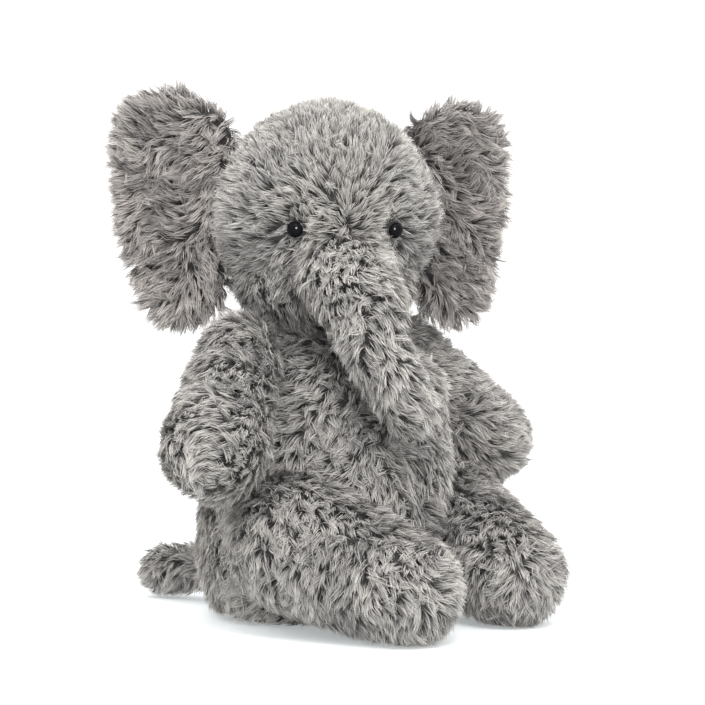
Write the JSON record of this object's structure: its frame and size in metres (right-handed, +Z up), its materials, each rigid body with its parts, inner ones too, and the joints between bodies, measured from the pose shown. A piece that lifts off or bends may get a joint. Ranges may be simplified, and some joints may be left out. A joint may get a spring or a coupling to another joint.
{
  "type": "stuffed elephant",
  "caption": "Seated fluffy plush elephant with round head, curling trunk, broad fold-out ears, soft arms, legs and tail, weighted to sit upright.",
  "frame": {"origin": "middle of the flat seat, on the surface that the toy sits on", "axes": "+Z up, -Y the way the body faces, +X to the toy's left"},
  "size_m": [0.2708, 0.2562, 0.297],
  "materials": {
    "plush": "matte",
    "pouch_cloth": "matte",
    "fibre_fill": "matte",
    "pellets": "matte",
    "eye_plastic": "gloss",
    "washer_plastic": "satin"
  },
  "bodies": {
    "torso": {"torso_front_panel": "plush", "torso_back_panel": "plush", "seat_panel": "plush", "torso_stuffing": "fibre_fill", "seat_pouch": "pouch_cloth", "seat_pellets": "pellets"},
    "neck": {"neck_stuffing": "fibre_fill"},
    "head": {"head_right_panel": "plush", "head_left_panel": "plush", "head_stuffing": "fibre_fill", "eye_right": "eye_plastic", "eye_left": "eye_plastic", "eye_washer_right": "washer_plastic", "eye_washer_left": "washer_plastic"},
    "trunk_upper": {"trunk_upper_skin": "plush", "trunk_upper_stuffing": "fibre_fill"},
    "trunk_middle": {"trunk_middle_skin": "plush", "trunk_middle_stuffing": "fibre_fill"},
    "trunk_tip": {"trunk_tip_skin": "plush", "trunk_tip_stuffing": "fibre_fill"},
    "ear_right": {"ear_right_front_panel": "plush", "ear_right_padding": "fibre_fill", "ear_right_back_panel": "plush"},
    "ear_left": {"ear_left_front_panel": "plush", "ear_left_padding": "fibre_fill", "ear_left_back_panel": "plush"},
    "arm_right": {"arm_right_outer_panel": "plush", "arm_right_inner_panel": "plush", "arm_right_stuffing": "fibre_fill"},
    "arm_left": {"arm_left_outer_panel": "plush", "arm_left_inner_panel": "plush", "arm_left_stuffing": "fibre_fill"},
    "leg_right": {"leg_right_skin": "plush", "leg_right_sole_panel": "plush", "leg_right_stuffing": "fibre_fill"},
    "leg_left": {"leg_left_skin": "plush", "leg_left_sole_panel": "plush", "leg_left_stuffing": "fibre_fill"},
    "tail": {"tail_skin": "plush", "tail_stuffing": "fibre_fill"}
  },
  "joints": [
    {"name": "neck_turn", "type": "hinge", "parent": "torso", "child": "neck", "pos_m": [0, -0.006, 0.173], "axis": [0, 0, 1], "range_deg": [-15, 45], "stiffness_Nm_per_rad": 0.3},
    {"name": "head_nod", "type": "hinge", "parent": "neck", "child": "head", "pos_m": [0, -0.006, 0.173], "axis": [0.8339, -0.5519, 0], "range_deg": [-14, 3], "stiffness_Nm_per_rad": 1.2},
    {"name": "trunk_lift", "type": "hinge", "parent": "head", "child": "trunk_upper", "pos_m": [-0.02484, -0.04353, 0.194], "axis": [-0.8339, 0.5519, 0], "range_deg": [-3, 40], "stiffness_Nm_per_rad": 0.1},
    {"name": "trunk_middle_curl", "type": "hinge", "parent": "trunk_upper", "child": "trunk_middle", "pos_m": [-0.0317, -0.06657, 0.173], "axis": [-0.8339, 0.5519, 0], "range_deg": [-3, 30], "stiffness_Nm_per_rad": 0.05},
    {"name": "trunk_tip_curl", "type": "hinge", "parent": "trunk_middle", "child": "trunk_tip", "pos_m": [-0.03276, -0.07905, 0.149], "axis": [-0.8339, 0.5519, 0], "range_deg": [-3, 30], "stiffness_Nm_per_rad": 0.03},
    {"name": "ear_right_fold", "type": "hinge", "parent": "head", "child": "ear_right", "pos_m": [-0.04256, 0.03297, 0.232], "axis": [0, 0, 1], "range_deg": [-35, 35], "stiffness_Nm_per_rad": 0.05},
    {"name": "ear_left_fold", "type": "hinge", "parent": "head", "child": "ear_left", "pos_m": [0.0525, -0.02995, 0.232], "axis": [0, 0, -1], "range_deg": [-35, 35], "stiffness_Nm_per_rad": 0.05},
    {"name": "arm_right_swing", "type": "hinge", "parent": "torso", "child": "arm_right", "pos_m": [-0.073, -0.004, 0.1455], "axis": [-1, 0, 0], "range_deg": [-30, 50], "stiffness_Nm_per_rad": 0.15},
    {"name": "arm_left_swing", "type": "hinge", "parent": "torso", "child": "arm_left", "pos_m": [0.073, -0.004, 0.1455], "axis": [-1, 0, 0], "range_deg": [-30, 50], "stiffness_Nm_per_rad": 0.15},
    {"name": "leg_right_lift", "type": "hinge", "parent": "torso", "child": "leg_right", "pos_m": [-0.051, -0.07, 0.0345], "axis": [-1, 0, 0], "range_deg": [0, 22], "stiffness_Nm_per_rad": 0.3},
    {"name": "leg_left_lift", "type": "hinge", "parent": "torso", "child": "leg_left", "pos_m": [0.051, -0.07, 0.0345], "axis": [-1, 0, 0], "range_deg": [0, 22], "stiffness_Nm_per_rad": 0.3},
    {"name": "tail_wag", "type": "hinge", "parent": "torso", "child": "tail", "pos_m": [-0.002, 0.071, 0.022], "axis": [0, 0, 1], "range_deg": [-20, 20], "stiffness_Nm_per_rad": 0.05}
  ],
  "couplings": [
    {"joint": "trunk_middle_curl", "follows": "trunk_lift", "ratio": 0.7},
    {"joint": "trunk_tip_curl", "follows": "trunk_lift", "ratio": 0.7}
  ]
}
